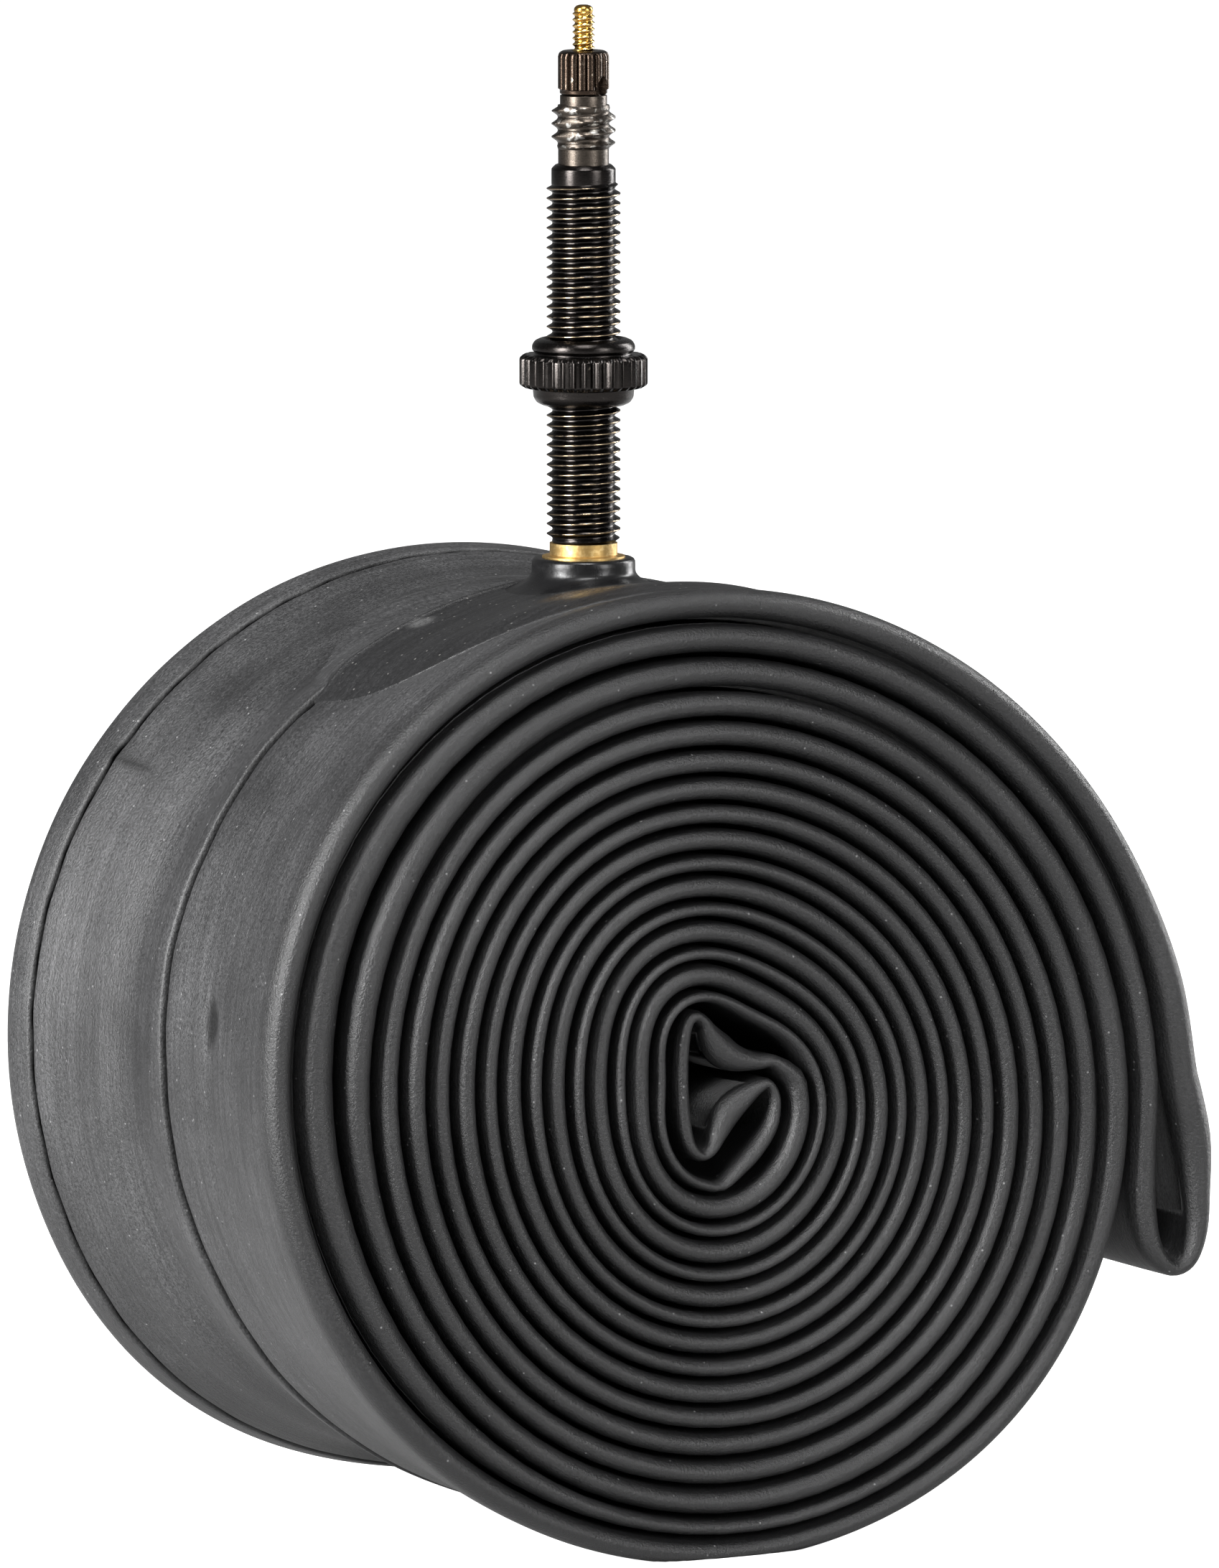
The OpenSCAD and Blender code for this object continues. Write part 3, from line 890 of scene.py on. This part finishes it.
# --- Materials ----------------------------------------------------------------
ROLL_CENTRE = (ROLL_X, 0, ROLL_Z)
CEMENT_PLACE = on_outer_face(101.9, -8.6, PATCH_RISE)
SCUFF_PLACE = on_outer_face(115.7, 2.4, PATCH_RISE)
# The rubber's bloom grey is partly dust and partly painted sheen.
RUBBER_BLACK, RUBBER_BLOOM_AND_SHEEN = (0.006, 0.006, 0.0063, 1), (0.12, 0.12, 0.123, 1)
RUBBER_DUST = (0.40, 0.40, 0.40, 1)
# The near black of the painted shade in the outer face's lines and dent.
LINE_SHADE_BLACK = (0.0008, 0.0008, 0.0008, 1)
PATCH_BLACK, PATCH_GREY = (0.005, 0.005, 0.0053, 1), (0.022, 0.022, 0.023, 1)
PATCH_BACK_BLACK, PATCH_BACK_BLOOM = (0.012, 0.012, 0.0125, 1), (0.075, 0.075, 0.077, 1)
CEMENT_BROWN, CEMENT_WHITE = (0.085, 0.060, 0.035, 1), (0.6, 0.58, 0.55, 1)
SCUFF_GREY = (0.10, 0.10, 0.10, 1)
BASE_BLACK, BASE_DUST = (0.004, 0.004, 0.0043, 1), (0.3, 0.3, 0.3, 1)
NICKEL_BLACK = (0.020, 0.018, 0.017, 1)


def new_material(name):
    material = bpy.data.materials.new(name)
    material.use_nodes = True
    tree = material.node_tree
    return material, tree, tree.nodes["Principled BSDF"]


def finish_surface(tree, shader, colour, roughness, height, depth):
    """Connects colour and roughness, and a bump of the given depth in millimetres."""
    connect(tree, colour, shader.inputs["Base Color"])
    connect(tree, roughness, shader.inputs["Roughness"])
    bump = add(tree, "ShaderNodeBump", {"Height": height, "Distance": depth * MM})
    connect(tree, bump.outputs[0], shader.inputs["Normal"])


def tube_rubber():
    """Butyl rubber: satin, drawn out round the roll, with a bloom of dust that is strongest on its
    outer face and is there partly a painted sheen, and painted shade in that face's lines and dent.
    """
    material, tree, shader = new_material("butyl_rubber")
    place, radius, across = use(tree, "round_places", centre=ROLL_CENTRE).outputs
    streaks = mottle(tree, scaled(tree, place, 0.09, 2.4, 0.09), 1.0, 1.1)
    clouds = mottle(tree, place, 0.07, 1.6)
    fine = mottle(tree, scaled(tree, place, 1.0, 1.5, 1.0), 4.0, 2.4)
    dust = specks(tree, place, 1.0, 0.12, 0.35)
    # The outer face gets far more of the grey bloom than the folded edges: partly its dust, partly a
    # painted sheen for the light that falls on it.
    face = times(tree, spread(tree, radius, 36.0, 38.5),
                 spread(tree, across, FRONT + 1.0, FRONT + 3.0))
    bloom = times(tree, times(tree, times(tree, streaks, clouds), fine),
                  spread(tree, face, 0, 1, 0.35, 1.6))
    colour = blend_colours(tree, bloom, RUBBER_BLACK, RUBBER_BLOOM_AND_SHEEN)
    colour = blend_colours(tree, times(tree, dust, 0.5), colour, RUBBER_DUST)
    # Painted shade: where the mask is high, the lines and the dent are painted near black.
    groove = add(tree, "ShaderNodeAttribute", attribute_name="groove").outputs["Fac"]
    colour = blend_colours(tree, groove, colour, LINE_SHADE_BLACK)
    roughness = maths(tree, "ADD", spread(tree, fine, 0.2, 0.8, 0.33, 0.44),
                      maths(tree, "MULTIPLY", groove, 0.5, clamp=True))
    height = maths(tree, "ADD", times(tree, fine, 0.8), streaks)
    finish_surface(tree, shader, colour, roughness, height, 0.045)
    # Painted shade: black and metallic together give back no light, as the bottom of a fine line
    # does.
    connect(tree, spread(tree, groove, 0.15, 0.9), shader.inputs["Metallic"])
    return material


def spot(tree, place, noise, outer, inner):
    """A mask with a ragged edge: 1 within the inner radius of a place, 0 past the outer."""
    offset = add(tree, "ShaderNodeVectorMath", {0: object_mm(tree), 1: place},
                 operation="SUBTRACT")
    distance = add(tree, "ShaderNodeVectorMath", {0: offset.outputs[0]}, operation="LENGTH")
    return spread(tree, maths(tree, "ADD", distance.outputs["Value"], noise), outer, inner)


def patch_rubber():
    """The patch: smooth dark rubber, with a dried smear of cement in front of the valve."""
    material, tree, shader = new_material("patch_rubber")
    place, _, across = use(tree, "round_places", centre=ROLL_CENTRE).outputs
    streaks = mottle(tree, scaled(tree, place, 0.12, 1.6, 0.12), 1.0, 2.2)
    fine = mottle(tree, place, 3.0, 2.0)
    grain = times(tree, streaks, fine)
    behind = spread(tree, across, PARTING_LINE + 0.1, PARTING_LINE + 0.9)
    smear = spot(tree, CEMENT_PLACE, fine, 4.4, 2.6)
    scuff = spot(tree, SCUFF_PLACE, fine, 1.9, 1.2)
    colour = blend_colours(tree, grain, PATCH_BLACK, PATCH_GREY)
    bloom = blend_colours(tree, grain, PATCH_BACK_BLACK, PATCH_BACK_BLOOM)
    colour = blend_colours(tree, behind, colour, bloom)
    colour = blend_colours(tree, times(tree, smear, fine), colour, CEMENT_BROWN)
    colour = blend_colours(tree, times(tree, scuff, fine), colour, SCUFF_GREY)
    white = times(tree, specks(tree, place, 0.8, 0.16, 0.5), spread(tree, smear, 0, 1, 0.25))
    colour = blend_colours(tree, white, colour, CEMENT_WHITE)
    roughness = maths(tree, "SUBTRACT", spread(tree, fine, 0.2, 0.8, 0.36, 0.46),
                      times(tree, smear, 0.16))
    finish_surface(tree, shader, colour, roughness, maths(tree, "ADD", fine, streaks), 0.04)
    return material


def base_rubber():
    """Moulded rubber of the base: darker and glossier, with specks."""
    material, tree, shader = new_material("moulded_rubber")
    place = object_mm(tree)
    fine = mottle(tree, place, 0.9, 1.5)
    dust = specks(tree, place, 0.9, 0.09, 0.2)
    colour = blend_colours(tree, times(tree, dust, 0.6), BASE_BLACK, BASE_DUST)
    finish_surface(tree, shader, colour, spread(tree, fine, 0.2, 0.8, 0.24, 0.36), fine, 0.03)
    shader.inputs["Specular IOR Level"].default_value = 0.34
    return material


def worn_metal(name, dark, bare, wear, cover, roughness, grain=2.5):
    """A dark plated metal, rubbed bare from one radius to the next, as on its crests."""
    material, tree, shader = new_material(name)
    place = object_mm(tree)
    x, y, _ = add(tree, "ShaderNodeSeparateXYZ", {0: place}).outputs
    worn = add(tree, "ShaderNodeGroup",
               {"Vector": place, "Radius": hypotenuse(tree, x, y), "From": wear[0],
                "To": wear[1], "Grain": grain, "Cover": cover},
               node_tree=GROUPS["crest_wear"]).outputs[0]
    clouds = mottle(tree, scaled(tree, place, 0.25, 0.25, 5), 1.2, 1.2)
    fine = mottle(tree, scaled(tree, place, 1, 1, 4), 5.0, 1.6)
    lighter = tuple(min(1, 1.8 * c) for c in dark[:3]) + (1,)
    colour = blend_colours(tree, worn, blend_colours(tree, clouds, dark, lighter), bare)
    rough = spread(tree, fine, 0.2, 0.8, roughness - 0.07, roughness + 0.1)
    finish_surface(tree, shader, colour, rough, fine, 0.008)
    shader.inputs["Metallic"].default_value = 1.0
    return material


def stem_nickel():
    return worn_metal("black_nickel", NICKEL_BLACK, (0.36, 0.28, 0.19, 1),
                      (THREAD_R - 0.07, THREAD_R - 0.01), cover=0.66, roughness=0.19, grain=1.3)


def ring_nickel():
    return worn_metal("black_nickel_ring", NICKEL_BLACK, (0.32, 0.28, 0.23, 1),
                      (RING_R - 0.04, RING_R), cover=0.36, roughness=0.20)


def core_bronze():
    return worn_metal("dark_bronze", (0.050, 0.042, 0.035, 1), (0.62, 0.61, 0.58, 1),
                      (CORE_R + 0.08, CORE_R + 0.14), cover=0.47, roughness=0.30, grain=1.6)


def lock_bronze():
    return worn_metal("ribbed_bronze", (0.034, 0.024, 0.018, 1), (0.34, 0.28, 0.22, 1),
                      (LOCK_R - 0.05, LOCK_R), cover=0.42, roughness=0.24)


def pin_brass():
    return worn_metal("pin_brass", (0.36, 0.21, 0.05, 1), (0.88, 0.66, 0.28, 1),
                      (PIN_R - 0.12, PIN_R - 0.02), cover=0.6, roughness=0.18)


def neck_brass():
    return worn_metal("neck_brass", (0.30, 0.20, 0.075, 1), (0.55, 0.40, 0.18, 1),
                      (2.5, 2.75), cover=0.5, roughness=0.42)


# --- Stage --------------------------------------------------------------------
VIEW_AZIMUTH, VIEW_ELEVATION = -30.0, 6.6
VIEW_DISTANCE = 1.5
VIEW_HEIGHT = 0.1277
VIEW_RIGHT, VIEW_UP = 0.0021, 0.0609
SENSOR = 36
FLOOR_HALF = 3.0
FLOOR_GLOW = 0.95
WORLD_LIGHT = 0.16
LIGHT_AIM = Vector((0.002, 0.004, 0.05))
# Name, place, size and power
LIGHTS = (("soft_left", (-0.87, -0.14, 0.35), (0.28, 0.6), 25),
          ("strip_front", (0.30, -0.88, 0.38), (0.10, 0.6), 6),
          ("soft_top", (-0.15, -0.35, 1.10), (0.35, 0.35), 8),
          ("strip_right", (0.80, 0.10, 0.25), (0.12, 0.7), 7))


def into_scene(thing):
    bpy.context.scene.collection.objects.link(thing)


def build_camera():
    a, e = math.radians(VIEW_AZIMUTH), math.radians(VIEW_ELEVATION)
    back = Vector((math.sin(a) * math.cos(e), -math.cos(a) * math.cos(e), math.sin(e)))
    right = Vector((math.cos(a), math.sin(a), 0))
    up = back.cross(right)
    target = right * VIEW_RIGHT + up * VIEW_UP
    data = bpy.data.cameras.new("camera")
    data.sensor_fit = "VERTICAL"
    data.sensor_height = SENSOR
    data.lens = SENSOR * VIEW_DISTANCE / VIEW_HEIGHT
    data.clip_start = 0.05
    camera = bpy.data.objects.new("camera", data)
    camera.location = target + back * VIEW_DISTANCE
    camera.rotation_euler = back.to_track_quat("Z", "Y").to_euler()
    into_scene(camera)
    bpy.context.scene.camera = camera


def area_light(name, place, size, power):
    data = bpy.data.lights.new(name, "AREA")
    data.shape = "RECTANGLE"
    data.size, data.size_y = size
    data.energy = power
    light = bpy.data.objects.new(name, data)
    light.location = place
    light.rotation_euler = (LIGHT_AIM - Vector(place)).to_track_quat("-Z", "Y").to_euler()
    into_scene(light)


def pale_floor():
    """A matt floor that glows for the camera only, so it looks pale but doesn't light the object."""
    material, tree, shader = new_material("pale_floor")
    shader.inputs["Base Color"].default_value = (0.45, 0.45, 0.45, 1)
    shader.inputs["Roughness"].default_value = 0.9
    shader.inputs["Specular IOR Level"].default_value = 0.0
    shader.inputs["Emission Color"].default_value = (1, 1, 1, 1)
    seen = add(tree, "ShaderNodeLightPath").outputs["Is Camera Ray"]
    connect(tree, times(tree, seen, FLOOR_GLOW), shader.inputs["Emission Strength"])
    return material


def build_floor():
    mesh = bpy.data.meshes.new("floor")
    corners = ((-1, -1), (1, -1), (1, 1), (-1, 1))
    mesh.from_pydata([(x * FLOOR_HALF, y * FLOOR_HALF, 0) for x, y in corners], [],
                     [(0, 1, 2, 3)])
    floor = bpy.data.objects.new("floor", mesh)
    into_scene(floor)
    floor.data.materials.append(pale_floor())


def build_world():
    """A white surround that the camera sees in full, and that lights the object faintly."""
    world = bpy.data.worlds.new("studio")
    bpy.context.scene.world = world
    world.use_nodes = True
    tree = world.node_tree
    background = tree.nodes["Background"]
    background.inputs[0].default_value = (1, 1, 1, 1)
    seen = add(tree, "ShaderNodeLightPath").outputs["Is Camera Ray"]
    connect(tree, spread(tree, seen, 0.0, 1.0, WORLD_LIGHT, 1.0), background.inputs[1])


def build_stage():
    build_floor()
    build_world()
    for light in LIGHTS:
        area_light(*light)


# --- The object ---------------------------------------------------------------
def dress(node_or_piece, material):
    slots = node_or_piece.material_slots
    if slots:
        for slot in slots:
            slot.material = material
    else:
        node_or_piece.data.materials.append(material)


def build_object():
    moulded, brass = base_rubber(), neck_brass()
    dress(build_roll(), tube_rubber())
    dress(build_patch(), patch_rubber())
    dress(build_base(), moulded)
    dress(build_stem(), stem_nickel())
    dress(build_rim_nut(), ring_nickel())
    dress(build_core(), core_bronze())
    dress(build_lock_nut(), lock_bronze())
    dress(build_pin(), pin_brass())
    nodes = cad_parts
    for name, material in (("valve_foot", brass), ("seal_cup", brass),
                           ("core_gasket", moulded), ("pin_seal", moulded)):
        dress(nodes[name], material)


bpy.context.scene.view_settings.view_transform = "Standard"
build_camera()
build_stage()
build_object()
